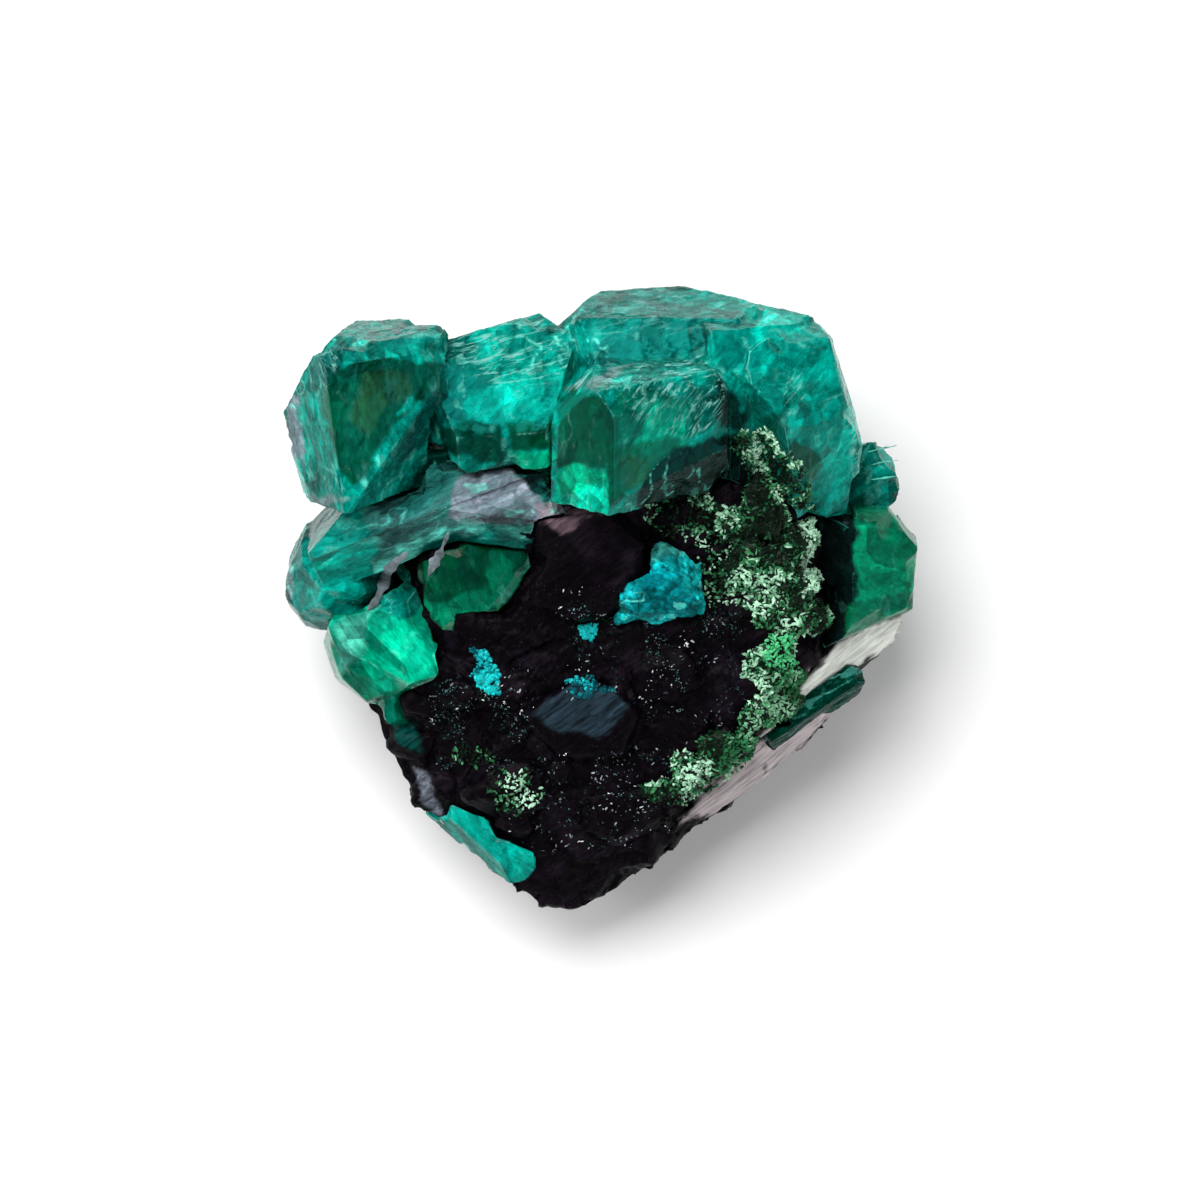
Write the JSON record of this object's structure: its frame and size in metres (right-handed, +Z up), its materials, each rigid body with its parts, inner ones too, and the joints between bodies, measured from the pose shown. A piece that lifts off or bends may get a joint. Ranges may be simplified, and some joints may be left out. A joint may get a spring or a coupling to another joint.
{
  "type": "dioptase on matrix",
  "caption": "Small mineral specimen: emerald-green prismatic crystals and a pale green crust on dark rock, lying on a flat broken underside.",
  "frame": {"origin": "bottom centre of the bounding box, on the flat broken underside", "axes": "+Z up from the underside, so the face that shows the crystals looks up; +Y towards the large crystals, -Y towards the pointed end of the rock; +X to the right in the picture"},
  "size_m": [0.0382, 0.0374, 0.0241],
  "materials": {
    "rock": "near-black rock, dull with small glints and a few flat dark faces",
    "malachite": "pale green, finely grained and needly, matt",
    "dioptase": "deep emerald green, clear to cloudy, with frosted and streaked faces"
  },
  "bodies": {
    "root": {"matrix": "rock", "malachite_crust": "malachite", "dioptase_crown": "dioptase", "dioptase_upper_left": "dioptase", "dioptase_left_ledge": "dioptase", "dioptase_lower_left": "dioptase", "dioptase_inner": "dioptase", "dioptase_center": "dioptase", "dioptase_right": "dioptase", "dioptase_splinter": "dioptase", "dioptase_foot": "dioptase"}
  },
  "joints": []
}
